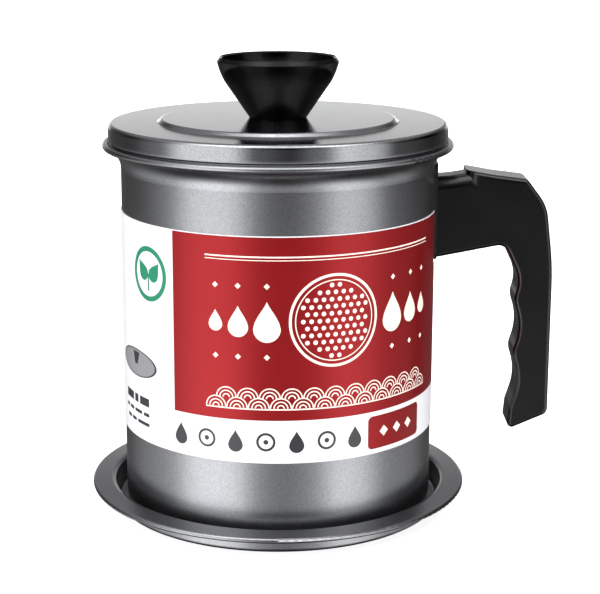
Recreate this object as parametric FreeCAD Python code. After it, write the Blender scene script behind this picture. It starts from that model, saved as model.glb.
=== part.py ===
import FreeCAD, Part
import math
import os

# Oil and grease keeper: a coated steel pot with a mesh strainer, a lid, a side handle and a drip tray.
# Millimetres, +Z up. The origin is the middle of the tray's underside, on the pot's axis,
# and the handle points along +X.

V = FreeCAD.Vector
UP = V(0, 0, 1)
OUT = V(1, 0, 0)

# Clearances
seat_gap = 0.2  # under the strainer's flange, where it lies on the curved mouth
bore_gap = 0.1  # round a screw in a plain hole
thread_gap = 0.05  # between a screw and its thread
overlap = 5.0  # how far a cutter runs past the face that it cuts

# Drip tray
tray_wall = 0.8
tray_flange = 8.3  # from the well's mouth to the tray's edge
tray_roll = 0.95  # section radius of the rolled edge
tray_rim_height = 8.2  # middle of the rolled edge
well_clearance = 3.9  # between the pot's wall and the outside of the well's floor
well_spread = 1.2  # how much wider the well is at its mouth
well_depth = 9.0
well_floor_bend = 1.6
well_mouth_bend = 1.4

# Pot
pot_radius = 60.0
pot_height = 141.8
pot_wall = 0.8
pot_floor_bend = 3.4
rim_overhang = 6.9  # how far the rolled rim stands out from the wall
rim_roll = 1.2  # section radius of the rolled rim
flare_bend = 9.4
flare_rise = 2.75  # from the corner of the flare to the middle of the rolled rim

# Paper label round the pot
label_thickness = 0.3
label_bottom = 32.4  # above the pot's underside
label_height = 83.9
label_margin = 1.5  # left free round the bracket
label_corner = 2.5

# Strainer
strainer_wall = 0.6
strainer_play = 0.6  # between the flange's edge and the rolled rim
strainer_depth = 34.0
cup_clearance = 1.3  # between the cup and the pot's wall
cup_taper = 5.1  # how much narrower the cup is at its foot
cup_flange_bend = 1.2
cup_foot_bend = 3.0
ledge_width = 8.8  # from the cup's foot in to the mesh opening
mesh_thickness = 0.5
mesh_pitch = 4.5
mesh_bar = 1.0
clamp_width = 5.4
clamp_thickness = 0.6
clamp_cover = 0.4  # how far the clamp ring reaches past the mesh

# Lid
lid_wall = 0.6
lid_setback = 2.2  # from the rim's edge in to the lid's skirt
lid_height = 8.2  # from the foot of its lip to the flat ring
lid_lip_play = 0.9  # between the lip and the rolled rim
lid_lip_height = 1.35
lid_step_rise = 0.4
lid_edge_bend = 1.3
lid_step_bend = 0.4
lid_ring_width = 20.4  # from the skirt in to the raised panel
panel_rise = 1.35
panel_slope = 1.5  # how far the panel's shoulder runs outwards
panel_bend = 0.9

# Knob
knob_height = 22.9
knob_foot_radius = 10.9
knob_bend_radius = 20.3
knob_bend_height = 13.7
knob_rim_radius = 23.2
knob_lip_height = 1.5
knob_lip_inset = 1.1
knob_wall = 2.6
knob_side_bulge = 3.9  # height above the knob's bend of the middle of its rim's curve
knob_chamfer = 0.9
knob_chamfer_drop = 0.5
dish_depth = 9.0
dish_wall_drop = 5.5  # from the top down to the middle of the dish's wall
dish_wall_inset = 1.5
dish_turn_inset = 3.5  # where the dish's wall meets its floor's bend
dish_turn_rise = 0.4
dish_floor_inset = 6.5
dish_flat_margin = 2.0  # the dish's flat floor is this much smaller than the foot

# Handle
handle_thickness = 17.0
handle_reach = 45.5  # from the pot's wall to the handle's outer edge
handle_drop = 11.3  # from the rim's top down to the start of the thumb rest
handle_length = 102.4
grip_depth = 14.6
finger_pitch = 21.5
scallop_draw = 3.3  # depth of the finger hollows before their bends are made
ridge_bend = 8.0
valley_bend = 22.0
first_ridge_drop = 49.7  # from the start of the thumb rest down to the first ridge
first_valley_draw = 2.4
first_valley_rise = 7.9  # above the first ridge
first_valley_bend = 14.0
last_ridge_push = 0.4  # how far the lowest ridge stands in front of the others
last_ridge_drop = 43.6  # below the first ridge
foot_push = 1.2
foot_rise = 6.9  # from the foot's tip up to its heel
back_drop = 36.5  # from the start of the thumb rest down to the straight part of the back
back_bend = 120.0
shoulder_inset = 2.9
shoulder_drop = 13.1
shoulder_bend = 17.0
thumb_tip_inset = 10.6
thumb_tip_drop = 2.9
thumb_dip = 1.3  # how far the thumb rest sags
thumb_dip_place = 11.0
thumb_bend = 80.0
thumb_lift = 0.7
arm_depth = 28.0  # from the thumb rest's start down to the arm's inner corner
arm_slope = 0.193
arm_bend = 4.0
arm_corner_inset = 4.1  # from the grip's inner face in to the arm's corner
foot_tip_bend = 1.8
foot_heel_bend = 3.0
thumb_tip_bend = 2.0
thumb_start_bend = 5.0
handle_edge = 1.6  # rounding of the long edges
neck_edge = 4.5
neck_length = 11.5  # from the pot's wall to the thumb rest
neck_drop = 1.8  # from the thumb rest's start down to the neck's top
neck_fall = 0.9  # how far the neck's top falls towards the pot
neck_lap = 9.0  # how far the neck runs on inside the grip
neck_lap_drop = 4.5
neck_crest = 2.5  # where the neck meets the thumb rest
neck_crest_drop = 0.5
neck_crest_bend = 2.0
neck_turn = 5.5
neck_turn_bend = 14.0
groove_width = 0.45
groove_depth = 0.3
groove_inset = 1.75  # from the cheek to the groove

# Bracket
bracket_wall = 1.2
bracket_width = 18.0
bracket_above = 4.5  # above the neck
bracket_below = 1.2  # below the arm
bracket_corner = 5.0
tongue_length = 8.0
tongue_height = 16.0
tongue_width = 10.0
tongue_wall = 1.5
pocket_gap = 0.2
recess_gap = 0.3  # round the washer in the handle's recess

# M4 fasteners
thread_radius = 2.0
head_radius = 4.0
head_height = 2.6
head_round = 1.0
slot_length = 4.4
slot_width = 0.9
slot_depth = 1.3
washer_radius = 5.0
washer_thickness = 0.8
lock_washer_radius = 3.8
lock_washer_thickness = 1.0
lock_washer_split = 0.8
nut_side = 7.0
nut_thickness = 3.0
insert_radius = 3.6
insert_height = 10.0
thread_end = 0.7  # past the nut, or short of the insert's end
screw_rest = 29.0  # from the bracket to the seat of the handle's screw
screw_drop = 15.3  # from the start of the thumb rest down to the handle's screw

# Places that follow from the sizes
pot_base = tray_wall
rim_radius = pot_radius + rim_overhang
well_floor_radius = pot_radius + well_clearance
well_mouth_radius = well_floor_radius + well_spread
tray_radius = well_mouth_radius + tray_flange
lid_radius = rim_radius - lid_setback
panel_radius = lid_radius - lid_ring_width
rim_top = pot_base + pot_height
rim_centre_z = rim_top - rim_roll
rim_centre_r = rim_radius - rim_roll
pot_bore = pot_radius - pot_wall
pot_middle = pot_radius - pot_wall / 2
cup_radius = pot_bore - cup_clearance
cup_foot_radius = cup_radius - cup_taper
mesh_opening = cup_foot_radius - ledge_width
flare_corner_z = rim_centre_z - flare_rise
flare_turn = math.atan2(rim_centre_r - pot_middle, flare_rise)
flare_start_z = flare_corner_z - flare_bend * math.tan(flare_turn / 2)
flare_centre_r = pot_middle + flare_bend
flange_radius = rim_radius - 2 * rim_roll - strainer_play
thumb_z = rim_top - handle_drop
handle_outer = pot_radius + handle_reach
handle_inner = handle_outer - grip_depth
handle_foot = thumb_z - handle_length
bracket_outer = pot_radius + bracket_wall
screw_z = thumb_z - screw_drop
screw_seat = bracket_outer + screw_rest
thumb_start = pot_radius + neck_length
neck_top = thumb_z - neck_drop
arm_bend_x = handle_inner - arm_corner_inset
arm_bend_z = thumb_z - arm_depth
bracket_bottom = arm_bend_z - arm_slope * (arm_bend_x - pot_radius) - bracket_below
bracket_top = neck_top + bracket_above


def flare_top(radius):
    """Height of the mouth's inner surface at a radius."""
    reach = flare_bend + pot_wall / 2
    bend_end = flare_centre_r - reach * math.cos(flare_turn)
    on_bend = min(radius, bend_end)
    rise = math.sqrt(reach**2 - (flare_centre_r - on_bend) ** 2)
    return flare_start_z + rise + (radius - on_bend) / math.tan(flare_turn)


flange_under = flare_top(flange_radius) + seat_gap
flange_top = flange_under + strainer_wall
ledge_under = flange_under - strainer_depth
mesh_under = ledge_under - mesh_thickness
lid_foot = flange_top
ring_top = lid_foot + lid_height
panel_top = ring_top + panel_rise
panel_under = panel_top - lid_wall


def side(path, offset):
    """Edges of a path of (r, z, bend) corners, moved sideways by offset, with its bends as arcs."""
    points = [V(corner[0], 0, corner[1]) for corner in path]
    ways = [(b - a).normalize() for a, b in zip(points, points[1:])]
    lefts = [V(-way.z, 0, way.x) for way in ways]
    edges = []
    here = points[0] + lefts[0] * offset
    for i in range(1, len(points) - 1):
        before, after = ways[i - 1], ways[i]
        turn = math.atan2(before.x * after.z - before.z * after.x, before.dot(after))
        tangent = path[i][2] * abs(math.tan(turn / 2))
        start = points[i] - before * tangent + lefts[i - 1] * offset
        end = points[i] + after * tangent + lefts[i] * offset
        radius = path[i][2] - offset * math.copysign(1, turn)
        edges.append(Part.LineSegment(here, start).toShape())
        if radius > 0.01:
            centre = start + lefts[i - 1] * math.copysign(radius, turn)
            middle = (start + end) * 0.5 - centre
            edges.append(Part.Arc(start, centre + middle.normalize() * radius, end).toShape())
        here = end
    last = points[-1] + lefts[-1] * offset
    edges.append(Part.LineSegment(here, last).toShape())
    return edges, points[0] + lefts[0] * offset, last


def sheet(path, wall):
    """Solid of revolution of a sheet whose middle line follows the path."""
    left, left_start, left_end = side(path, wall / 2)
    right, right_start, right_end = side(path, -wall / 2)
    ends = [
        Part.LineSegment(left_start, right_start).toShape(),
        Part.LineSegment(left_end, right_end).toShape(),
    ]
    return turned(left + right + ends)


def turned(edges):
    """Solid of revolution about Z of a closed set of edges."""
    wire = Part.Wire(Part.__sortEdges__(edges))
    solid = Part.Face(wire).revolve(V(0, 0, 0), UP, 360)
    return solid if solid.Volume > 0 else solid.reversed()


def chain(start, steps):
    """Closed edges from a start: a step is a point for a line, or (middle, end) for an arc."""
    edges = []
    here = V(start[0], 0, start[1])
    for step in steps:
        if isinstance(step[0], tuple):
            middle, end = (V(r, 0, z) for r, z in step)
            edges.append(Part.Arc(here, middle, end).toShape())
            here = end
        else:
            end = V(step[0], 0, step[1])
            edges.append(Part.LineSegment(here, end).toShape())
            here = end
    first = V(start[0], 0, start[1])
    if here.distanceToPoint(first) > 1e-6:
        edges.append(Part.LineSegment(here, first).toShape())
    return edges


def ring(outer, inner, thickness, base, direction=UP):
    """Flat ring with its lower face at base."""
    disc = Part.makeCylinder(outer, thickness, base, direction)
    return disc.cut(Part.makeCylinder(inner, thickness, base, direction))


def roll(radius, section, height):
    """Rolled edge of a sheet."""
    return Part.makeTorus(radius, section, V(0, 0, height))


def block(x, y, z):
    """Box between pairs of limits."""
    size = (x[1] - x[0], y[1] - y[0], z[1] - z[0])
    return Part.makeBox(*size, V(x[0], y[0], z[0]))


def drip_tray():
    floor = tray_wall / 2
    well = floor + well_depth
    edge = tray_rim_height + tray_roll - tray_wall / 2
    path = [
        (0, floor),
        (well_floor_radius - tray_wall / 2, floor, well_floor_bend),
        (well_mouth_radius - tray_wall / 2, well, well_mouth_bend),
        (tray_radius - tray_roll, edge),
    ]
    rolled = roll(tray_radius - tray_roll, tray_roll, tray_rim_height)
    return sheet(path, tray_wall).fuse(rolled).removeSplitter()


def pot_shell():
    floor = pot_base + pot_wall / 2
    path = [
        (0, floor),
        (pot_middle, floor, pot_floor_bend),
        (pot_middle, flare_corner_z, flare_bend),
        (rim_centre_r, rim_centre_z),
    ]
    rolled = roll(rim_centre_r, rim_roll, rim_centre_z)
    return sheet(path, pot_wall).fuse(rolled).removeSplitter()


def bracket_outline(margin, corner, depth):
    """Prism along X of the bracket's front view, grown by a margin."""
    half = bracket_width / 2 + margin
    low = bracket_bottom - margin
    high = bracket_top + margin
    prism = block((0, depth), (-half, half), (low, high))
    long_edges = [e for e in prism.Edges if abs(e.tangentAt(e.FirstParameter).x) > 0.99]
    return prism.makeFillet(corner, long_edges)


def label_sleeve():
    base = pot_base + label_bottom
    outer = Part.makeCylinder(pot_radius + label_thickness, label_height, V(0, 0, base))
    sleeve = outer.cut(Part.makeCylinder(pot_radius, label_height, V(0, 0, base)))
    return sleeve.cut(bracket_outline(label_margin, label_corner, pot_radius + overlap))


def handle_bracket(pot):
    height = bracket_top - bracket_bottom
    base = V(0, 0, bracket_bottom)
    plate = ring(bracket_outer, pot_radius, height, base)
    plate = plate.common(bracket_outline(0, bracket_corner, bracket_outer + overlap))
    end = bracket_outer + tongue_length
    half = tongue_width / 2
    low, high = screw_z - tongue_height / 2, screw_z + tongue_height / 2
    root = pot_radius + bracket_wall / 4
    tongue = block((root, end), (-half, half), (low, high))
    hollow = (low + tongue_wall, high - tongue_wall)
    tongue = tongue.cut(block((root, end - tongue_wall), (-half, half), hollow))
    tongue = tongue.cut(Part.makeCylinder(pot_radius, 2 * pot_height))
    start = V(bracket_outer, 0, screw_z)
    hole = Part.makeCylinder(thread_radius + bore_gap, tongue_length, start, OUT)
    return plate.fuse(tongue).cut(hole).cut(pot).removeSplitter()


def bracket_nut():
    face = bracket_outer + tongue_length - tongue_wall
    half = nut_side / 2
    nut = block((face - nut_thickness, face), (-half, half), (screw_z - half, screw_z + half))
    start = V(face - nut_thickness, 0, screw_z)
    return nut.cut(Part.makeCylinder(thread_radius + thread_gap, nut_thickness, start, OUT))


def rounded(corners):
    """Closed edges through (x, z, bend) corners, each bend an arc that meets its lines smoothly."""
    points = [V(corner[0], 0, corner[1]) for corner in corners]
    starts, ends, arcs = [], [], []
    for i, corner in enumerate(corners):
        before = (points[i] - points[i - 1]).normalize()
        after = (points[(i + 1) % len(points)] - points[i]).normalize()
        turn = math.atan2(before.x * after.z - before.z * after.x, before.dot(after))
        tangent = corner[2] * abs(math.tan(turn / 2))
        start, end = points[i] - before * tangent, points[i] + after * tangent
        starts.append(start)
        ends.append(end)
        if corner[2]:
            centre = start + V(-before.z, 0, before.x) * math.copysign(corner[2], turn)
            middle = ((start + end) * 0.5 - centre).normalize()
            arcs.append(Part.Arc(start, centre + middle * corner[2], end).toShape())
    following = starts[1:] + starts[:1]
    return arcs + [Part.LineSegment(a, b).toShape() for a, b in zip(ends, following)]


def arm_under(x):
    """Height of the arm's underside, which rises outwards."""
    return arm_bend_z + arm_slope * (x - arm_bend_x)


def grip_outline():
    """Side view of the grip: thumb rest, outer edge, foot and finger ridges."""
    first_ridge = thumb_z - first_ridge_drop
    fingers = []
    for i in range(2):
        z = first_ridge - i * finger_pitch
        fingers.append((handle_inner, z, ridge_bend))
        fingers.append((handle_inner + scallop_draw, z - finger_pitch / 2, valley_bend))
    return rounded(
        [
            (thumb_start, arm_under(thumb_start), 0),
            (arm_bend_x, arm_bend_z, arm_bend),
            (handle_inner + first_valley_draw, first_ridge + first_valley_rise, first_valley_bend),
            *fingers,
            (handle_inner - last_ridge_push, first_ridge - last_ridge_drop, ridge_bend),
            (handle_inner - foot_push, handle_foot, foot_tip_bend),
            (handle_outer, handle_foot + foot_rise, foot_heel_bend),
            (handle_outer, thumb_z - back_drop, back_bend),
            (handle_outer - shoulder_inset, thumb_z - shoulder_drop, shoulder_bend),
            (handle_outer - thumb_tip_inset, thumb_z - thumb_tip_drop, thumb_tip_bend),
            (thumb_start + thumb_dip_place, thumb_z - thumb_dip, thumb_bend),
            (thumb_start, thumb_z + thumb_lift, 0),
        ]
    )


def neck_outline():
    """Side view of the neck between the bracket and the thumb rest."""
    root = pot_radius - overlap
    end = thumb_start + neck_lap
    return rounded(
        [
            (root, arm_under(root), 0),
            (end, arm_under(end), 0),
            (end, thumb_z - neck_lap_drop, 0),
            (thumb_start + neck_crest, thumb_z - neck_crest_drop, neck_crest_bend),
            (thumb_start - neck_turn, neck_top, neck_turn_bend),
            (root, neck_top - neck_fall, 0),
        ]
    )


def prism_y(edges, low, high):
    """Prism along Y of a closed side view."""
    face = Part.Face(Part.Wire(Part.__sortEdges__(edges)))
    face.translate(V(0, low, 0))
    return face.extrude(V(0, high - low, 0))


def cheek_edges(solid, x_limits, z_limits):
    """Edges in the handle's two cheeks, with their middles between two values of X and of Z."""
    found = []
    for edge in solid.Edges:
        box = edge.BoundBox
        middle = box.Center
        in_cheek = box.YLength < 0.01 and abs(abs(middle.y) - handle_thickness / 2) < 0.01
        in_x = x_limits[0] < middle.x < x_limits[1]
        if in_cheek and in_x and z_limits[0] < middle.z < z_limits[1]:
            found.append(edge)
    return found


def groove_ring(low):
    """Shallow line round the grip, cut between low and low + groove_width in Y."""
    high = low + groove_width
    outer = Part.Wire(Part.__sortEdges__(grip_outline()))
    inner = outer.makeOffset2D(-groove_depth)
    if abs(Part.Face(inner).Area) > abs(Part.Face(outer).Area):
        inner = outer.makeOffset2D(groove_depth)
    return prism_y(outer.Edges, low, high).cut(prism_y(inner.Edges, low, high))


def grip_solid():
    """Grip with rounded long edges; its start is rounded in plan where the thumb rest begins."""
    half = handle_thickness / 2
    grip = prism_y(grip_outline(), -half, half)
    everywhere = (-2 * handle_outer, 2 * handle_outer)
    past_start = (thumb_start + 0.5, 2 * handle_outer)
    grip = grip.makeFillet(handle_edge, cheek_edges(grip, past_start, everywhere))
    for low in (-half + groove_inset, half - groove_inset - groove_width):
        grip = grip.cut(groove_ring(low))
    plan = block((thumb_start, handle_outer + overlap), (-half, half), (0, 2 * thumb_z))
    near = thumb_start + 1
    uprights = [e for e in plan.Edges if e.BoundBox.ZLength > thumb_z and e.BoundBox.XMax < near]
    return grip.common(plan.makeFillet(thumb_start_bend, uprights))


def neck_solid():
    """Neck with a softly rounded back."""
    half = handle_thickness / 2
    neck = prism_y(neck_outline(), -half, half)
    along = (pot_radius - overlap + 0.5, thumb_start + neck_lap - 0.5)
    back = cheek_edges(neck, along, (thumb_z - handle_thickness, thumb_z))
    neck = neck.makeFillet(neck_edge, back)
    under = cheek_edges(neck, along, (0, thumb_z - handle_thickness))
    return neck.makeFillet(handle_edge, under)


def handle_grip():
    handle = neck_solid().fuse(grip_solid()).removeSplitter()
    handle = handle.cut(Part.makeCylinder(bracket_outer, 2 * pot_height))
    end = bracket_outer + tongue_length + pocket_gap
    half = tongue_width / 2 + pocket_gap
    rise = tongue_height / 2 + pocket_gap
    handle = handle.cut(block((0, end), (-half, half), (screw_z - rise, screw_z + rise)))
    start, seat = V(bracket_outer, 0, screw_z), V(screw_seat, 0, screw_z)
    bore = Part.makeCylinder(thread_radius + bore_gap, screw_rest, start, OUT)
    recess = Part.makeCylinder(washer_radius + recess_gap, handle_reach, seat, OUT)
    return handle.cut(bore).cut(recess)


def screw(base, direction, length):
    """Pan head screw: the head's underside is at base and the shank runs along direction."""
    shank = Part.makeCylinder(thread_radius, length, V(0, 0, 0), UP)
    head = Part.makeCylinder(head_radius, head_height, V(0, 0, -head_height), UP)
    crown = [e for e in head.Edges if e.BoundBox.ZMax < -head_height / 2]
    head = head.makeFillet(head_round, crown)
    long, wide = slot_length / 2, slot_width / 2
    floor = (-head_height - overlap, -head_height + slot_depth)
    for x, y in ((long, wide), (wide, long)):
        head = head.cut(block((-x, x), (-y, y), floor))
    whole = shank.fuse(head)
    whole.Placement = FreeCAD.Placement(base, FreeCAD.Rotation(UP, direction))
    return whole


def lock_washer(base, direction):
    """Split spring washer with one face at base, its thickness along direction."""
    washer = ring(lock_washer_radius, thread_radius + bore_gap, lock_washer_thickness, V(0, 0, 0))
    half = lock_washer_split / 2
    rise = (-overlap, lock_washer_thickness + overlap)
    washer = washer.cut(block((0, lock_washer_radius + overlap), (-half, half), rise))
    washer.Placement = FreeCAD.Placement(base, FreeCAD.Rotation(UP, direction))
    return washer


def strainer_cup():
    middle = strainer_wall / 2
    shelf = flange_under + middle
    path = [
        (flange_radius, shelf),
        (cup_radius - middle, shelf, cup_flange_bend),
        (cup_foot_radius, ledge_under + middle, cup_foot_bend),
        (mesh_opening, ledge_under + middle),
    ]
    return sheet(path, strainer_wall)


def strainer_mesh():
    """One flat net: a square grid of gaps inside the opening."""
    radius = mesh_opening + clamp_width - clamp_cover
    outline = Part.Wire(Part.makeCircle(radius, V(0, 0, mesh_under)))
    half = (mesh_pitch - mesh_bar) / 2
    reach = int(mesh_opening / mesh_pitch)
    gaps = []
    for column in range(-reach, reach + 1):
        for row in range(-reach, reach + 1):
            x, y = column * mesh_pitch, row * mesh_pitch
            if math.hypot(abs(x) + half, abs(y) + half) > mesh_opening:
                continue
            turns = ((-1, -1), (-1, 1), (1, 1), (1, -1), (-1, -1))
            points = [V(x + a * half, y + b * half, mesh_under) for a, b in turns]
            gaps.append(Part.makePolygon(points))
    net = Part.Face([outline] + gaps)
    return net.extrude(V(0, 0, mesh_thickness))


def mesh_clamp_ring():
    base = V(0, 0, mesh_under - clamp_thickness)
    return ring(mesh_opening + clamp_width, mesh_opening, clamp_thickness, base)


def lid_shell():
    middle = lid_wall / 2
    lip_radius = rim_radius - 2 * rim_roll - lid_lip_play - middle
    skirt_radius = lid_radius - middle
    lip_top = lid_foot + lid_lip_height
    path = [
        (thread_radius + bore_gap, panel_top - middle),
        (panel_radius, panel_top - middle, panel_bend),
        (panel_radius + panel_slope, ring_top - middle, panel_bend),
        (skirt_radius, ring_top - middle, lid_edge_bend),
        (skirt_radius, lip_top + lid_step_rise, lid_step_bend),
        (lip_radius, lip_top, lid_step_bend),
        (lip_radius, lid_foot),
    ]
    return sheet(path, lid_wall)


def lid_knob():
    top = panel_top + knob_height
    lip = top - knob_lip_height
    bend_z = panel_top + knob_bend_height
    dish_floor = top - dish_depth
    inside = knob_rim_radius - knob_lip_inset
    wall_radius = knob_rim_radius - dish_wall_inset - knob_wall
    floor_radius = knob_bend_radius - knob_wall
    socket = panel_top + insert_height
    edges = chain(
        (insert_radius, panel_top),
        [
            (knob_foot_radius, panel_top),
            (knob_bend_radius, bend_z),
            ((inside, bend_z + knob_side_bulge), (knob_rim_radius, lip)),
            (inside, top),
            (inside - knob_chamfer, top - knob_chamfer_drop),
            (
                (wall_radius, top - dish_wall_drop),
                (floor_radius - dish_turn_inset, dish_floor + dish_turn_rise),
            ),
            (
                (floor_radius - dish_floor_inset, dish_floor),
                (knob_foot_radius - dish_flat_margin, dish_floor),
            ),
            (0, dish_floor),
            (0, socket),
            (insert_radius, socket),
        ],
    )
    return turned(edges)


def knob_insert():
    bore = thread_radius + thread_gap
    return ring(insert_radius, bore, insert_height, V(0, 0, panel_top))


def fastened(base, direction, grip_length):
    """Plain washer, lock washer and screw, set in that order on a seat that faces against direction."""
    away = direction * -1
    plain = ring(washer_radius, thread_radius + bore_gap, washer_thickness, base, away)
    second = base + away * washer_thickness
    split = lock_washer(second, away)
    stack = washer_thickness + lock_washer_thickness
    return plain, split, screw(base + away * stack, direction, stack + grip_length)


def save(name, shape):
    """Write one node."""
    solids = shape.Solids
    if len(solids) == 1:
        shape = solids[0]
    print(name, "solids", len(solids), "valid", shape.isValid(), "volume", round(shape.Volume, 1))
    shape.exportStep("parts/" + name + ".step")


def main():
    os.makedirs("parts", exist_ok=True)
    pot = pot_shell()
    save("drip_tray", drip_tray())
    save("pot_shell", pot)
    save("label_sleeve", label_sleeve())
    save("handle_bracket", handle_bracket(pot))
    save("bracket_nut", bracket_nut())
    save("handle_grip", handle_grip())
    nut_face = bracket_outer + tongue_length - tongue_wall - nut_thickness
    plain, split, bolt = fastened(V(screw_seat, 0, screw_z), OUT * -1, screw_seat - nut_face + thread_end)
    save("handle_washer", plain)
    save("handle_lock_washer", split)
    save("handle_screw", bolt)
    save("strainer_cup", strainer_cup())
    save("strainer_mesh", strainer_mesh())
    save("mesh_clamp_ring", mesh_clamp_ring())
    save("lid_shell", lid_shell())
    save("lid_knob", lid_knob())
    save("knob_insert", knob_insert())
    plain, split, bolt = fastened(V(0, 0, panel_under), UP, lid_wall + insert_height - thread_end)
    save("knob_washer", plain)
    save("knob_lock_washer", split)
    save("knob_screw", bolt)


main()
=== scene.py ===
import math

import bmesh
import bpy
from mathutils import Matrix, Vector


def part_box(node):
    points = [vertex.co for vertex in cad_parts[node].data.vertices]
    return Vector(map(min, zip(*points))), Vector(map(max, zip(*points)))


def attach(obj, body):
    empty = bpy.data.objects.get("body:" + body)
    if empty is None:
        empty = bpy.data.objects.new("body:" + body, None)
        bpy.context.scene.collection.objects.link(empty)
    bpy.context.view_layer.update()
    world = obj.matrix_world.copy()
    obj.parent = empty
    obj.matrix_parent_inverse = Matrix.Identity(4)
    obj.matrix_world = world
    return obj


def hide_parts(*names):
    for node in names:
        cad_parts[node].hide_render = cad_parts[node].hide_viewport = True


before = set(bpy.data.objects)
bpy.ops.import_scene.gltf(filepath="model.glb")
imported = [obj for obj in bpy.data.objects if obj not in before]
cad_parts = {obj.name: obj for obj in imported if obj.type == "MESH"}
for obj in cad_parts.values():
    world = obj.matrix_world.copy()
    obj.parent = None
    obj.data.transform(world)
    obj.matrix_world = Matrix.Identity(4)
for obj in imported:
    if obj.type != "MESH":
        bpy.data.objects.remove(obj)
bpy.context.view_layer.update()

bl_info = {
    "name": "Oil and grease keeper",
    "version": (1, 0, 0),
    "blender": (4, 5, 0),
    "location": "3D View > Sidebar > Keeper",
    "description": "Finishes, printed label and studio for the coated steel pot on its drip tray",
    "category": "Object",
}

MM = 0.001
LABEL_LOW, LABEL_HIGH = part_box("label_sleeve")
PAPER = LABEL_HIGH.y  # radius of the paper's outer face
BRACKET_LOW, BRACKET_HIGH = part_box("handle_bracket")
MESH_LOW, MESH_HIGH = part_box("strainer_mesh")
LID_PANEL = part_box("lid_shell")[1].z - 7.0 * MM  # the lid is smoother above this height
INK_LAYER = 0.025 * MM  # a layer of print lies this far over the one below
STRIP = 2 * MM  # width of the strips that the wrapped print is cut into
RED_SHEEN = 0.5  # how metallic the red ink is


# Sizes and colours that a user would change


class LabelSettings(bpy.types.PropertyGroup):
    panel_start: bpy.props.FloatProperty(
        name="Panel start", description="Where the red panel starts, measured from the front",
        default=math.radians(-39), unit="ROTATION")
    panel_sweep: bpy.props.FloatProperty(
        name="Panel sweep", description="How far the red panel reaches round the pot",
        default=math.radians(184), unit="ROTATION")
    panel_low: bpy.props.FloatProperty(
        name="Panel foot", description="Height of the red panel's lower edge",
        default=49.4 * MM, unit="LENGTH")
    panel_margin: bpy.props.FloatProperty(
        name="Top margin", description="White paper left above the red panel",
        default=0.4 * MM, unit="LENGTH")
    middle: bpy.props.FloatProperty(
        name="Motif place", description="Where the round motif stands, measured from the front",
        default=math.radians(20), unit="ROTATION")
    motif_height: bpy.props.FloatProperty(
        name="Motif height", description="Height of the round motif's middle",
        default=86 * MM, unit="LENGTH")
    strip_height: bpy.props.FloatProperty(
        name="Strip height", description="Height of the middle of the marks and of the badge",
        default=41.3 * MM, unit="LENGTH")
    badge_place: bpy.props.FloatProperty(
        name="Badge place", description="Where the badge stands, measured from the front",
        default=math.radians(47), unit="ROTATION")
    ring_place: bpy.props.FloatProperty(
        name="Leaf ring place", description="Where the leaf ring stands, measured from the front",
        default=math.radians(-52), unit="ROTATION")
    ring_height: bpy.props.FloatProperty(
        name="Leaf ring height", description="Height of the leaf ring's middle",
        default=98.5 * MM, unit="LENGTH")
    drawing_place: bpy.props.FloatProperty(
        name="Drawing place", description="Where the drawn lid stands, measured from the front",
        default=math.radians(-62), unit="ROTATION")
    drawing_height: bpy.props.FloatProperty(
        name="Drawing height", description="Height of the drawn lid's middle",
        default=62.6 * MM, unit="LENGTH")
    bars_place: bpy.props.FloatProperty(
        name="Bars place", description="Where the small bars end, measured from the front",
        default=math.radians(-53), unit="ROTATION")
    seam_place: bpy.props.FloatProperty(
        name="Seam place", description="Where the glued seam stands, measured from the front",
        default=math.radians(-160), unit="ROTATION")
    paper: bpy.props.StringProperty(
        name="Paper", description="Colour of the paper as an sRGB hex value", default="#E6E5E9")
    red: bpy.props.StringProperty(
        name="Red", description="Colour of the red ink as an sRGB hex value", default="#920810")
    cream: bpy.props.StringProperty(
        name="Cream", description="Colour of the pale ink as an sRGB hex value", default="#FBE9DC")
    green: bpy.props.StringProperty(
        name="Green", description="Colour of the green ink as an sRGB hex value", default="#15835F")
    grey: bpy.props.StringProperty(
        name="Grey", description="Colour of the dark ink as an sRGB hex value", default="#2E2C31")
    tint: bpy.props.StringProperty(
        name="Tint", description="Colour of the drawn lid as an sRGB hex value", default="#8A898C")


class StrainerSettings(bpy.types.PropertyGroup):
    pitch: bpy.props.FloatProperty(
        name="Wire pitch", description="Distance between the woven wires",
        default=2.0 * MM, unit="LENGTH")
    wire: bpy.props.FloatProperty(
        name="Wire", description="Diameter of a woven wire", default=0.42 * MM, unit="LENGTH")


class StudioSettings(bpy.types.PropertyGroup):
    focal_length: bpy.props.FloatProperty(
        name="Focal length", description="Focal length in millimetres on a 36 mm sensor",
        default=102.08, unit="CAMERA")
    distance: bpy.props.FloatProperty(
        name="Distance", description="From the camera to the pot's axis",
        default=645.3 * MM, unit="LENGTH")
    height: bpy.props.FloatProperty(
        name="Height", description="Height of the camera", default=236.65 * MM, unit="LENGTH")
    tilt: bpy.props.FloatProperty(
        name="Tilt", description="How far the camera looks down", default=0.2370, unit="ROTATION")
    shift: bpy.props.FloatProperty(
        name="Shift", description="Sideways shift of the lens, as a share of the picture's width",
        default=0.0367, subtype="FACTOR")
    floor: bpy.props.FloatProperty(
        name="Floor", description="Width of the floor", default=12.0, unit="LENGTH")
    glow: bpy.props.FloatProperty(
        name="Floor glow", description="Light that the floor itself gives", default=0.75)


# Node helpers


def colour(value):
    """Linear colour of an sRGB hex value."""
    parts = [int(value[i : i + 2], 16) / 255 for i in (1, 3, 5)]
    return tuple(c / 12.92 if c <= 0.04045 else ((c + 0.055) / 1.055) ** 2.4 for c in parts) + (1.0,)


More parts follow.
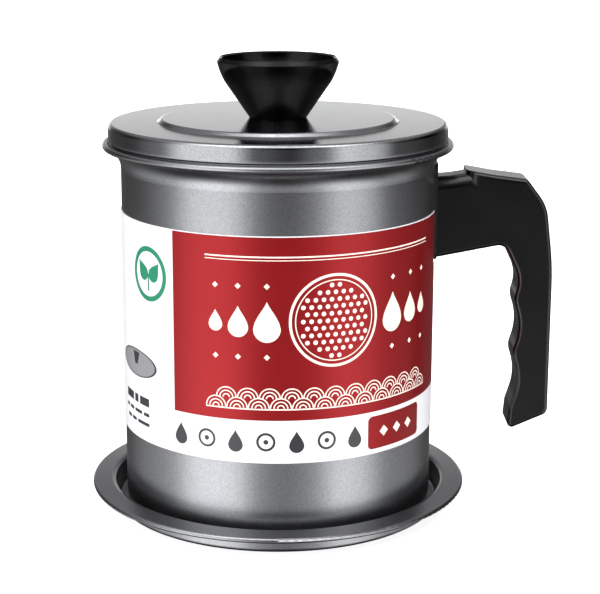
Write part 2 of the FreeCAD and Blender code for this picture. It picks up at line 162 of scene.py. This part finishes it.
def add_node(tree, kind, settings=None, inputs=None):
    """A node with its settings; an input is a value or the socket that feeds it."""
    node = tree.nodes.new(kind)
    for name, value in (settings or {}).items():
        setattr(node, name, value)
    for name, value in (inputs or {}).items():
        if isinstance(value, bpy.types.NodeSocket):
            tree.links.new(value, node.inputs[name])
        else:
            node.inputs[name].default_value = value
    return node


def ramp(tree, source, stops, interpolation="LINEAR"):
    """Colour ramp output with (position, value) stops; a value is a grey level or a colour."""
    node = add_node(tree, "ShaderNodeValToRGB", None, {"Fac": source})
    node.color_ramp.interpolation = interpolation
    elements = node.color_ramp.elements
    while len(elements) > 1:
        elements.remove(elements[-1])
    for i, (place, value) in enumerate(stops):
        element = elements[0] if i == 0 else elements.new(place)
        element.position = place
        element.color = value if isinstance(value, tuple) else (value, value, value, 1)
    return node.outputs["Color"]


def per_mm(size):
    """Pattern scale for details of a size in millimetres, on Object coordinates in metres."""
    return 1 / (size * MM)


def material(name):
    """New material with its shader and Object coordinates."""
    made = bpy.data.materials.new(name)
    made.use_nodes = True
    tree = made.node_tree
    place = add_node(tree, "ShaderNodeTexCoord").outputs["Object"]
    return made, tree, tree.nodes["Principled BSDF"], place


def dress(tree, shader, **inputs):
    """Set or link inputs of the shader by name, with underscores for spaces."""
    for name, value in inputs.items():
        socket = shader.inputs[name.replace("_", " ")]
        if isinstance(value, bpy.types.NodeSocket):
            tree.links.new(value, socket)
        else:
            socket.default_value = value


def bump(tree, height, strength, distance_mm):
    """Normal from a height pattern."""
    inputs = {"Height": height, "Strength": strength, "Distance": distance_mm * MM}
    return add_node(tree, "ShaderNodeBump", None, inputs).outputs["Normal"]


# Finishes


def sprayed_steel(name, dark, light, rough, grit_mm, peel_depth, smoother_above=None):
    """Fluoro-resin coating sprayed on drawn steel: a satin metallic grey with fine mica grit.

    The grit is drawn about three times too coarse, so that it shows. smoother_above is a
    height in metres and how much less rough the surface is above it."""
    made, tree, shader, place = material(name)
    grit = add_node(tree, "ShaderNodeTexVoronoi", None,
                    {"Vector": place, "Scale": per_mm(grit_mm), "Randomness": 1.0})
    flake = ramp(tree, grit.outputs["Color"], [(0.25, colour(dark)), (0.62, colour(light))])
    cloud = add_node(tree, "ShaderNodeTexNoise", None,
                     {"Vector": place, "Scale": per_mm(9), "Detail": 3.0, "Roughness": 0.55})
    gloss = add_node(tree, "ShaderNodeMapRange", None,
                     {"Value": cloud.outputs["Fac"], "To Min": rough - 0.03, "To Max": rough + 0.03})
    if smoother_above:
        level, change = smoother_above
        fade = 0.4 * MM
        height = add_node(tree, "ShaderNodeSeparateXYZ", None, {"Vector": place}).outputs["Z"]
        less = add_node(tree, "ShaderNodeMapRange", None, {
            "Value": height, "From Min": level - fade, "From Max": level + fade, "To Max": change})
        gloss = add_node(tree, "ShaderNodeMath", {"operation": "SUBTRACT"},
                         {0: gloss.outputs["Result"], 1: less.outputs["Result"]})
    orange_peel = add_node(tree, "ShaderNodeTexNoise", None,
                           {"Vector": place, "Scale": per_mm(0.5), "Detail": 2.0})
    dress(tree, shader, Base_Color=flake, Metallic=1.0, Roughness=gloss.outputs[0],
          Normal=bump(tree, orange_peel.outputs["Fac"], peel_depth, 0.02))
    return made


def moulded_phenolic(name, shade, rough, grain_depth, specular):
    """Phenolic moulded in a polished or satin die: deep black under a soft sheen.

    The grain left by the die is drawn coarser than real, so that it shows."""
    made, tree, shader, place = material(name)
    grain = add_node(tree, "ShaderNodeTexNoise", None,
                     {"Vector": place, "Scale": per_mm(0.35), "Detail": 2.0})
    patches = add_node(tree, "ShaderNodeTexNoise", None,
                       {"Vector": place, "Scale": per_mm(14), "Detail": 2.0})
    tone = ramp(tree, patches.outputs["Fac"], [(0.3, colour("#020203")), (0.7, colour(shade))])
    gloss = add_node(tree, "ShaderNodeMapRange", None,
                     {"Value": patches.outputs["Fac"], "To Min": rough - 0.03, "To Max": rough + 0.03})
    dress(tree, shader, Base_Color=tone, Roughness=gloss.outputs["Result"], IOR=1.55,
          Specular_IOR_Level=specular, Normal=bump(tree, grain.outputs["Fac"], grain_depth, 0.02))
    return made


def enamelled_steel():
    """Black stoving enamel on pressed steel: even and half glossy."""
    made, tree, shader, place = material("stoved_black_enamel")
    peel = add_node(tree, "ShaderNodeTexNoise", None,
                    {"Vector": place, "Scale": per_mm(0.8), "Detail": 2.0})
    tone = ramp(tree, peel.outputs["Fac"], [(0.3, colour("#0D0D0F")), (0.7, colour("#19191C"))])
    dress(tree, shader, Base_Color=tone, Roughness=0.32, IOR=1.5,
          Normal=bump(tree, peel.outputs["Fac"], 0.2, 0.02))
    return made


def printed_paper(name, ink, metallic=0.0, rough=0.34):
    """Coated label paper, offset printed and varnished: clean colour under a soft sheen.

    The paper's fibre is drawn coarser than real, so that it shows."""
    made, tree, shader, place = material(name)
    fibre = add_node(tree, "ShaderNodeTexNoise", None,
                     {"Vector": place, "Scale": per_mm(0.7), "Detail": 4.0, "Roughness": 0.6})
    wave = add_node(tree, "ShaderNodeTexNoise", None,
                    {"Vector": place, "Scale": per_mm(22), "Detail": 1.0})
    base = colour(ink)
    deep = tuple(c * 0.93 for c in base[:3]) + (1.0,)
    tone = ramp(tree, fibre.outputs["Fac"], [(0.3, deep), (0.6, base)])
    gloss = add_node(tree, "ShaderNodeMapRange", None,
                     {"Value": wave.outputs["Fac"], "To Min": rough - 0.04, "To Max": rough + 0.04})
    dress(tree, shader, Base_Color=tone, Metallic=metallic, Roughness=gloss.outputs["Result"],
          IOR=1.48, Normal=bump(tree, wave.outputs["Fac"], 0.08, 0.2))
    return made


def plain_metal(name, dark, light, rough, grain_mm):
    """Drawn wire, turned brass or zinc plated steel: bright, with a fine grain.

    The grain is drawn coarser than real, so that it shows."""
    made, tree, shader, place = material(name)
    grain = add_node(tree, "ShaderNodeTexNoise", None,
                     {"Vector": place, "Scale": per_mm(grain_mm), "Detail": 3.0})
    tone = ramp(tree, grain.outputs["Fac"], [(0.35, colour(dark)), (0.65, colour(light))])
    gloss = add_node(tree, "ShaderNodeMapRange", None,
                     {"Value": grain.outputs["Fac"], "To Min": rough - 0.05, "To Max": rough + 0.05})
    dress(tree, shader, Base_Color=tone, Metallic=1.0, Roughness=gloss.outputs["Result"],
          Normal=bump(tree, grain.outputs["Fac"], 0.1, 0.02))
    return made


def finish_nodes(finish, *names):
    """Give CAD nodes a finish."""
    for name in names:
        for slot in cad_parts[name].material_slots:
            slot.material = finish


class KEEPER_OT_finishes(bpy.types.Operator):
    """Give every carried-over piece its finish"""

    bl_idname = "keeper.finishes"
    bl_label = "Finishes"

    def execute(self, context):
        paper = context.scene.keeper_label.paper
        pot = sprayed_steel("sprayed_fluoro_resin_on_steel", "#898A8D", "#999A9D", 0.3, 0.3, 0.2)
        lid = sprayed_steel("sprayed_fluoro_resin_on_lid", "#8E8F92", "#9D9EA1", 0.3, 0.3, 0.12,
                            (LID_PANEL, 0.16))
        finish_nodes(pot, "pot_shell", "drip_tray", "strainer_cup", "mesh_clamp_ring")
        finish_nodes(lid, "lid_shell")
        grip = moulded_phenolic("satin_moulded_phenolic", "#060607", 0.25, 0.3, 0.42)
        finish_nodes(grip, "handle_grip")
        knob = moulded_phenolic("polished_moulded_phenolic", "#020203", 0.14, 0.06, 0.13)
        finish_nodes(knob, "lid_knob")
        finish_nodes(enamelled_steel(), "handle_bracket", "bracket_nut")
        finish_nodes(printed_paper("white_coated_paper", paper), "label_sleeve")
        steel = plain_metal("woven_stainless_wire", "#A9A9AB", "#C9C9CB", 0.3, 0.5)
        finish_nodes(steel, "strainer_mesh")
        zinc = plain_metal("zinc_plated_steel", "#A5A7AB", "#C4C6CA", 0.32, 0.6)
        fasteners = [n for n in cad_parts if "washer" in n or n.endswith("screw")]
        finish_nodes(zinc, *fasteners)
        finish_nodes(plain_metal("turned_brass", "#B08D46", "#CFAE64", 0.3, 0.3), "knob_insert")
        return {"FINISHED"}


# Printed label: drawn flat in metres, x along the paper and y up, then wrapped round the pot


def along(angle):
    """Distance along the paper of an angle from the front."""
    return PAPER * angle


def outline(bm, points):
    """One flat face through corner points."""
    return bm.faces.new([bm.verts.new((x, y, 0)) for x, y in points])


def rectangle(bm, x, y, width, height, round_off=0.0):
    """Flat rectangle about a middle, with rounded corners if asked."""
    w, h = width / 2, height / 2
    face = outline(bm, [(x - w, y - h), (x + w, y - h), (x + w, y + h), (x - w, y + h)])
    if round_off:
        bmesh.ops.bevel(bm, geom=face.verts[:], offset=round_off, affect="VERTICES",
                        segments=6, profile=0.5, material=-1)


def disc(bm, x, y, radius, segments=20):
    """Flat round dot."""
    bmesh.ops.create_circle(bm, cap_ends=True, radius=radius, segments=segments,
                            matrix=Matrix.Translation((x, y, 0)))


def band(bm, x, y, inner, outer, start=0.0, sweep=2 * math.pi, steps=48):
    """Flat ring, or part of one."""
    turn = Vector((math.cos(start), math.sin(start), 0))
    middle = Vector((x, y, 0))
    near, far = bm.verts.new(middle + turn * inner), bm.verts.new(middle + turn * outer)
    edge = bm.edges.new((near, far))
    bmesh.ops.spin(bm, geom=[near, far, edge], cent=middle, axis=(0, 0, 1), angle=sweep,
                   steps=steps, use_merge=abs(sweep - 2 * math.pi) < 1e-6)


def drop(bm, x, y, height, turn=0.0):
    """Flat oil drop with its tip up."""
    radius = height * 0.33
    made = bmesh.ops.create_circle(bm, cap_ends=True, radius=radius, segments=28)
    for vert in made["verts"]:
        up = max(vert.co.y / radius, 0)
        vert.co.x *= 1 - 0.95 * up**1.6
        vert.co.y = vert.co.y if vert.co.y < 0 else vert.co.y * (height - radius) / radius
    place = Matrix.Translation((x, y - height / 2 + radius, 0)) @ Matrix.Rotation(turn, 4, "Z")
    bmesh.ops.transform(bm, matrix=place, verts=made["verts"])


def diamond(bm, x, y, width, height):
    """Flat lozenge."""
    outline(bm, [(x - width / 2, y), (x, y - height / 2), (x + width / 2, y), (x, y + height / 2)])


def frame_line(bm, x, y, width, height, line, round_off):
    """Flat frame of an even line about a middle."""
    before = set(bm.faces)
    rectangle(bm, x, y, width, height, round_off)
    face = [f for f in bm.faces if f not in before]
    bmesh.ops.inset_region(bm, faces=face, thickness=line, use_even_offset=True)
    bmesh.ops.delete(bm, geom=face, context="FACES_ONLY")


def crosses(face, x):
    """True where a face lies on both sides of x."""
    xs = [v.co.x for v in face.verts]
    return min(xs) < x - 1e-7 and max(xs) > x + 1e-7


def wrap(bm, lift):
    """Cut the flat print into narrow strips and bend it round the pot, z outwards."""
    bmesh.ops.recalc_face_normals(bm, faces=bm.faces[:])
    for face in bm.faces:
        if face.normal.z < 0:
            face.normal_flip()
    xs = [v.co.x for v in bm.verts]
    for i in range(math.ceil(min(xs) / STRIP), math.floor(max(xs) / STRIP) + 1):
        cut = [f for f in bm.faces if crosses(f, i * STRIP)]
        around = {g for f in cut for g in (*f.verts, *f.edges)}
        bmesh.ops.bisect_plane(bm, geom=cut + list(around), dist=1e-7,
                               plane_co=(i * STRIP, 0, 0), plane_no=(1, 0, 0))
    for vert in bm.verts:
        radius = PAPER + lift + vert.co.z
        angle = vert.co.x / PAPER
        vert.co = (radius * math.sin(angle), -radius * math.cos(angle), vert.co.y)


def piece(name, bm, finish, body, smooth=True):
    """Finished object from a mesh, riding on a body."""
    mesh = bpy.data.meshes.new(name)
    bm.to_mesh(mesh)
    bm.free()
    for polygon in mesh.polygons:
        polygon.use_smooth = smooth
    mesh.materials.append(finish)
    made = bpy.data.objects.new(name, mesh)
    bpy.context.scene.collection.objects.link(made)
    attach(made, body)
    return made


def printed(name, bm, ink, layer, **finish):
    """Print wrapped on the paper; a higher layer lies over a lower one."""
    wrap(bm, layer * INK_LAYER)
    return piece(name, bm, printed_paper(name + "_ink", ink, **finish), "pot")


class KEEPER_OT_label_panel(bpy.types.Operator):
    """Red panel, notched for the handle's bracket"""

    bl_idname = "keeper.label_panel"
    bl_label = "Label panel"

    def execute(self, context):
        label = context.scene.keeper_label
        low, high = label.panel_low, LABEL_HIGH.z - label.panel_margin
        start, end = along(label.panel_start), along(label.panel_start + label.panel_sweep)
        notch_gap, notch_corner = 1.9 * MM, 2.5 * MM
        middle, half = along(math.pi / 2), BRACKET_HIGH.y + notch_gap
        sill = BRACKET_LOW.z - notch_gap
        bm = bmesh.new()
        outline(bm, [(start, low), (end, low), (end, high), (middle + half, high),
                     (middle + half, sill), (middle - half, sill), (middle - half, high),
                     (start, high)])
        corners = [v for v in bm.verts if abs(v.co.y - sill) < 1e-6]
        bmesh.ops.bevel(bm, geom=corners, offset=notch_corner, affect="VERTICES", segments=6,
                        profile=0.5, material=-1)
        printed("label_panel", bm, label.red, 1, metallic=RED_SHEEN)
        return {"FINISHED"}


class KEEPER_OT_label_print(bpy.types.Operator):
    """Pale print on the red panel: a sieve disc between oil drops, waves and rules"""

    bl_idname = "keeper.label_print"
    bl_label = "Pale print"

    def execute(self, context):
        label = context.scene.keeper_label
        x, y = along(label.middle), label.motif_height
        bm = bmesh.new()
        self.sieve(bm, x, y)
        self.drops(bm, x, y)
        printed("label_sieve_and_drops", bm, label.cream, 2)

        bm = bmesh.new()
        self.waves_and_rules(bm, x)
        printed("label_waves_and_rules", bm, label.cream, 2)
        return {"FINISHED"}

    def sieve(self, bm, x, y):
        """Field of round dots inside a wide and a fine ring."""
        for outer, line in ((17.2 * MM, 1.0 * MM), (15.0 * MM, 0.4 * MM)):
            band(bm, x, y, outer - line, outer, steps=72)
        pitch, dot, field = 3.0 * MM, 0.85 * MM, 13.2 * MM
        reach = math.ceil(field / pitch)
        for row in range(-reach, reach + 1):
            for column in range(-reach, reach + 1):
                dot_x = (column + 0.5 * (row % 2)) * pitch
                dot_y = row * pitch * math.sqrt(3) / 2
                if math.hypot(dot_x, dot_y) < field:
                    disc(bm, x + dot_x, y + dot_y, dot, 12)

    def drops(self, bm, x, y):
        """Oil drops that shrink outwards, each between two lozenges."""
        lozenge, rise = 2.2 * MM, 13 * MM
        for side in (-1, 1):
            for place, height in ((25, 15), (35.5, 11.5), (44, 8)):
                middle = x + side * place * MM
                drop(bm, middle, y, height * MM)
                for up in (rise, -rise):
                    diamond(bm, middle, y + up, lozenge, lozenge)

    def waves_and_rules(self, bm, x):
        """Two rows of half rings over a rule, and a wide and a fine rule along the top."""
        radius, line, low, rise = 4 * MM, 0.45 * MM, 54 * MM, 3.6 * MM
        counts = (12, 11)
        for row, count in enumerate(counts):
            for i in range(count):
                wave_x = x + (i - (count - 1) / 2) * 2 * radius
                for share in (1.0, 0.68, 0.36):
                    outer = radius * share
                    band(bm, wave_x, low + row * rise, outer - line, outer, 0, math.pi, 16)
        for height, thickness in ((109.6, 0.55), (108.4, 0.3), (53.6, 0.5)):
            rectangle(bm, x, height * MM, counts[0] * 2 * radius, thickness * MM)


class KEEPER_OT_label_strip(bpy.types.Operator):
    """Marks on the white strip under the red panel, and the bare red badge"""

    bl_idname = "keeper.label_strip"
    bl_label = "Strip marks"

    def execute(self, context):
        label = context.scene.keeper_label
        y = label.strip_height
        bm = bmesh.new()
        self.marks(bm, y)
        printed("strip_marks", bm, label.grey, 1)

        x = along(label.badge_place)
        width, height, corner = 29 * MM, 12.6 * MM, 1.9 * MM
        bm = bmesh.new()
        rectangle(bm, x, y, width, height, corner)
        printed("strip_badge", bm, label.red, 1, metallic=RED_SHEEN)

        margin, line, inner_corner = 1.3 * MM, 0.4 * MM, 1.2 * MM
        lozenge, pitch = 4.2 * MM, 7 * MM
        bm = bmesh.new()
        frame_line(bm, x, y, width - 2 * margin, height - 2 * margin, line, inner_corner)
        for i in (-1, 0, 1):
            diamond(bm, x + i * pitch, y, lozenge, lozenge)
        printed("strip_badge_line", bm, label.cream, 2)
        return {"FINISHED"}

    def marks(self, bm, y):
        """Oil drops and small rings by turns."""
        start, pitch, count = -38 * MM, 11.2 * MM, 7
        ring, line, dot, drop_height = 3.5 * MM, 0.9 * MM, 0.9 * MM, 8.4 * MM
        for i in range(count):
            x = start + i * pitch
            if i % 2:
                band(bm, x, y, ring - line, ring, steps=32)
                disc(bm, x, y, dot)
            else:
                drop(bm, x, y, drop_height)


class KEEPER_OT_label_side(bpy.types.Operator):
    """Green leaf ring, drawing of a lid and small bars on the white side of the label"""

    bl_idname = "keeper.label_side"
    bl_label = "Side marks"

    def execute(self, context):
        label = context.scene.keeper_label
        self.leaf_ring(label)
        self.drawn_lid(label)
        self.bars(label)
        return {"FINISHED"}

    def leaf_ring(self, label):
        """Two leaves on a stalk inside a ring."""
        x, y = along(label.ring_place), label.ring_height
        ring, line = 10.3 * MM, 1.9 * MM
        leaf, spread, rise, lean = 8.6 * MM, 3.0 * MM, 1.5 * MM, 0.6
        stalk, stalk_line = 6.4 * MM, 0.9 * MM
        bm = bmesh.new()
        band(bm, x, y, ring - line, ring, steps=56)
        for side in (-1, 1):
            drop(bm, x + side * spread, y + rise, leaf, -side * lean)
        rectangle(bm, x, y - stalk / 2, stalk_line, stalk)
        printed("leaf_ring", bm, label.green, 1)

    def drawn_lid(self, label):
        """Lid seen at a slant: a tinted disc with its edge line and its knob."""
        x, y = along(label.drawing_place), label.drawing_height
        radius, edge, edge_line, slant = 14.5 * MM, 14.7 * MM, 1.1 * MM, 0.36
        knob_foot, knob_top, knob_low, knob_high = 1.1 * MM, 2.7 * MM, -0.6 * MM, 4.1 * MM
        squash = Matrix.Translation((x, y, 0)) @ Matrix.Diagonal((1, slant, 1, 1))
        bm = bmesh.new()
        disc(bm, 0, 0, radius, 48)
        bmesh.ops.transform(bm, matrix=squash, verts=bm.verts[:])
        printed("pan_drawing", bm, label.tint, 1)

        bm = bmesh.new()
        band(bm, 0, 0, edge - edge_line, edge, steps=56)
        bmesh.ops.transform(bm, matrix=squash, verts=bm.verts[:])
        outline(bm, [(x - knob_foot, y + knob_low), (x + knob_foot, y + knob_low),
                     (x + knob_top, y + knob_high), (x - knob_top, y + knob_high)])
        printed("pan_drawing_lines", bm, label.grey, 2)

    def bars(self, label):
        """Rows of small bars, each row with its height, thickness and widths in millimetres."""
        rows = ((48.5, 3.2, (7, 3, 8)), (43.6, 1.3, (4, 6, 4, 3)), (39.8, 1.3, (9, 4, 4)))
        gap, corner = 1.4 * MM, 0.4 * MM
        bm = bmesh.new()
        for height, thickness, widths in rows:
            end = along(label.bars_place)
            for width in widths:
                rectangle(bm, end - width / 2 * MM, height * MM, width * MM, thickness * MM, corner)
                end -= width * MM + gap
        printed("side_bars", bm, label.grey, 1)


class KEEPER_OT_label_seam(bpy.types.Operator):
    """Glued seam where the label's ends meet at the back"""

    bl_idname = "keeper.label_seam"
    bl_label = "Label seam"

    def execute(self, context):
        label = context.scene.keeper_label
        overlap, thickness, gap = 9 * MM, 0.1 * MM, 0.04 * MM
        middle = (LABEL_LOW.z + LABEL_HIGH.z) / 2
        bm = bmesh.new()
        rectangle(bm, along(label.seam_place), middle, overlap, LABEL_HIGH.z - LABEL_LOW.z)
        made = bmesh.ops.extrude_face_region(bm, geom=bm.faces[:])["geom"]
        outer = [g for g in made if isinstance(g, bmesh.types.BMVert)]
        bmesh.ops.translate(bm, verts=outer, vec=(0, 0, thickness))
        wrap(bm, gap)
        bmesh.ops.recalc_face_normals(bm, faces=bm.faces[:])
        finish = printed_paper("folded_label_end", label.paper)
        piece("label_seam", bm, finish, "pot", smooth=False)
        return {"FINISHED"}


# Strainer


class KEEPER_OT_strainer_net(bpy.types.Operator):
    """Woven wire disc in the strainer's floor, drawn coarser than real so that it shows"""

    bl_idname = "keeper.strainer_net"
    bl_label = "Strainer net"

    def execute(self, context):
        net = context.scene.keeper_strainer
        radius = MESH_HIGH.x
        middle = (MESH_LOW.z + MESH_HIGH.z) / 2
        bm = bmesh.new()
        reach = int(radius / net.pitch)
        for across in (False, True):
            for i in range(-reach, reach + 1):
                offset = i * net.pitch
                half = math.sqrt(max(radius**2 - offset**2, 0))
                if half > net.pitch:
                    single = bmesh.new()
                    self.wire(single, net, offset, half, middle, i, across)
                    wire = bpy.data.meshes.new("wire")
                    single.to_mesh(wire)
                    single.free()
                    bm.from_mesh(wire)
                    bpy.data.meshes.remove(wire)
        finish = plain_metal("woven_stainless_wire_fine", "#A9A9AB", "#CFCFD1", 0.28, 0.5)
        made = piece("strainer_net", bm, finish, "strainer")
        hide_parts("strainer_mesh")
        return {"FINISHED"}

    def wire(self, bm, net, offset, half, middle, index, across):
        """One crimped wire: a small five-sided section extruded from crossing to crossing."""
        crimp = net.wire * 0.42
        section = bmesh.ops.create_circle(bm, cap_ends=False, radius=net.wire / 2, segments=5,
                                          matrix=Matrix.Rotation(math.pi / 2, 4, "Y"))["verts"]
        edges = list({e for v in section for e in v.link_edges})
        count = int(half / net.pitch)
        stops = [-half] + [k * net.pitch for k in range(-count, count + 1)] + [half]
        heights = [0.0]
        for k in range(-count, count + 1):
            up = 1 if (k + index) % 2 else -1
            heights.append(crimp * up * (-1 if across else 1))
        heights.append(0.0)
        bmesh.ops.translate(bm, verts=section, vec=(stops[0], offset, middle + heights[0]))
        every = list(section)
        for i in range(1, len(stops)):
            made = bmesh.ops.extrude_edge_only(bm, edges=edges)["geom"]
            verts = [g for g in made if isinstance(g, bmesh.types.BMVert)]
            edges = [g for g in made if isinstance(g, bmesh.types.BMEdge)]
            step = (stops[i] - stops[i - 1], 0, heights[i] - heights[i - 1])
            bmesh.ops.translate(bm, verts=verts, vec=step)
            every += verts
        if across:
            quarter = Matrix.Rotation(math.pi / 2, 4, "Z")
            bmesh.ops.transform(bm, matrix=quarter, verts=every)


# Studio


def studio_world(scene):
    """Soft boxes left and right of a darker front, with a backdrop, floor, top light and dome."""
    world = bpy.data.worlds.new("studio")
    scene.world = world
    world.use_nodes = True
    tree = world.node_tree
    way = add_node(tree, "ShaderNodeTexCoord").outputs["Generated"]
    parts = add_node(tree, "ShaderNodeSeparateXYZ", None, {"Vector": way})
    back = add_node(tree, "ShaderNodeMath", {"operation": "MULTIPLY"}, {0: parts.outputs["Y"], 1: -1.0})
    turn = add_node(tree, "ShaderNodeMath", {"operation": "ARCTAN2"},
                    {0: parts.outputs["X"], 1: back.outputs[0]})

    def round_about(stops):
        """Light at stops of degrees from the front, growing to the right."""
        share = add_node(tree, "ShaderNodeMapRange", None,
                         {"Value": turn.outputs[0], "From Min": -math.pi, "From Max": math.pi})
        places = [((degrees + 180) / 360, value) for degrees, value in stops]
        return ramp(tree, share.outputs["Result"], places, "EASE")

    def up_and_down(stops):
        """Light at stops of the sine of the angle above the horizon."""
        share = add_node(tree, "ShaderNodeMapRange", None,
                         {"Value": parts.outputs["Z"], "From Min": -1.0, "From Max": 1.0})
        return ramp(tree, share.outputs["Result"], [((z + 1) / 2, value) for z, value in stops])

    def lamp(strength, *patterns):
        """A strength times one or more patterns."""
        light = strength
        for pattern in patterns:
            light = add_node(tree, "ShaderNodeMath", {"operation": "MULTIPLY"},
                             {0: light, 1: pattern}).outputs[0]
        return light

    boxes = lamp(2.5, round_about([
        (-180, 0.05), (-150, 0.05), (-115, 0.02), (-85, 0.15), (-62, 0.95), (-34, 0.95), (-14, 0.08),
        (8, 0.0), (28, 0.15), (46, 0.85), (64, 0.65), (86, 0.04), (120, 0.0), (155, 0.05), (180, 0.05),
    ]), up_and_down([
        (-1, 0.08), (-0.85, 0.1), (-0.6, 1), (-0.34, 1), (-0.2, 0.8), (1, 0.8),
    ]))
    backdrop = lamp(1.7, round_about([
        (-180, 1), (-166, 1), (-148, 0), (148, 0), (166, 1), (180, 1),
    ]), up_and_down([
        (-0.15, 0), (-0.02, 1), (0.05, 1), (0.11, 0.7), (0.15, 0.25), (0.34, 0.04), (1, 0.1),
    ]))
    lit_floor = lamp(0.72, round_about([
        (-180, 0), (-150, 0), (-110, 1), (110, 1), (150, 0), (180, 0),
    ]), up_and_down([
        (-1, 0), (-0.75, 0.05), (-0.5, 0.9), (-0.36, 1), (-0.17, 0.1), (0, 0),
    ]))
    top_light = lamp(2.6, round_about([
        (-180, 0), (-120, 0), (-80, 1), (80, 1), (120, 0), (180, 0),
    ]), up_and_down([(0.66, 0), (0.86, 1), (1, 0.7)]))
    dome = lamp(0.4, up_and_down([(0.36, 0), (0.6, 0.8), (0.8, 1), (1, 1)]))
    total = boxes
    for light in (backdrop, lit_floor, top_light, dome):
        total = add_node(tree, "ShaderNodeMath", {"operation": "ADD"}, {0: total, 1: light}).outputs[0]
    sky = tree.nodes["Background"]
    tree.links.new(total, sky.inputs["Strength"])
    sky.inputs["Color"].default_value = (1, 1, 1, 1)


class KEEPER_OT_studio(bpy.types.Operator):
    """Camera, soft light and pale floor"""

    bl_idname = "keeper.studio"
    bl_label = "Studio"

    def execute(self, context):
        scene = context.scene
        studio = scene.keeper_studio
        camera = bpy.data.objects.new("camera", bpy.data.cameras.new("camera"))
        scene.collection.objects.link(camera)
        camera.data.lens = studio.focal_length
        camera.data.sensor_width = 36
        camera.data.shift_x = studio.shift
        camera.data.clip_start, camera.data.clip_end = 0.01, 50
        camera.location = (0, -studio.distance, studio.height)
        camera.rotation_euler = (math.pi / 2 - studio.tilt, 0, 0)
        scene.camera = camera
        scene.view_settings.view_transform = "Standard"

        made, tree, shader, place = material("white_painted_floor")
        speck = add_node(tree, "ShaderNodeTexNoise", None, {"Vector": place, "Scale": per_mm(40)})
        tone = ramp(tree, speck.outputs["Fac"], [(0.3, colour("#F6F6F6")), (0.7, colour("#FAFAFA"))])
        dress(tree, shader, Base_Color=tone, Roughness=0.9, Specular_IOR_Level=0.0,
              Emission_Color=(1, 1, 1, 1), Emission_Strength=studio.glow)
        bm = bmesh.new()
        bmesh.ops.create_grid(bm, x_segments=8, y_segments=8, size=studio.floor / 2)
        mesh = bpy.data.meshes.new("floor")
        bm.to_mesh(mesh)
        bm.free()
        mesh.materials.append(made)
        floor = bpy.data.objects.new("floor", mesh)
        scene.collection.objects.link(floor)
        floor.visible_glossy = False
        studio_world(scene)
        return {"FINISHED"}


# Panel and registration


PIECES = (
    KEEPER_OT_finishes, KEEPER_OT_label_panel, KEEPER_OT_label_print, KEEPER_OT_label_strip,
    KEEPER_OT_label_side, KEEPER_OT_label_seam, KEEPER_OT_strainer_net, KEEPER_OT_studio,
)
SETTINGS = {
    "keeper_label": LabelSettings,
    "keeper_strainer": StrainerSettings,
    "keeper_studio": StudioSettings,
}


class KEEPER_PT_sidebar(bpy.types.Panel):
    """Settings and pieces of the keeper"""

    bl_label = "Keeper"
    bl_space_type = "VIEW_3D"
    bl_region_type = "UI"
    bl_category = "Keeper"

    def draw(self, context):
        for group, settings in SETTINGS.items():
            box = self.layout.box()
            for name in settings.__annotations__:
                box.prop(getattr(context.scene, group), name)
        for operator in PIECES:
            self.layout.operator(operator.bl_idname)


def register():
    for cls in (*SETTINGS.values(), *PIECES, KEEPER_PT_sidebar):
        bpy.utils.register_class(cls)
    for group, settings in SETTINGS.items():
        setattr(bpy.types.Scene, group, bpy.props.PointerProperty(type=settings))


def unregister():
    for group in SETTINGS:
        delattr(bpy.types.Scene, group)
    for cls in reversed((*SETTINGS.values(), *PIECES, KEEPER_PT_sidebar)):
        bpy.utils.unregister_class(cls)


def main():
    register()
    for operator in PIECES:
        group, name = operator.bl_idname.split(".")
        getattr(getattr(bpy.ops, group), name)()


if __name__ == "__main__":
    main()
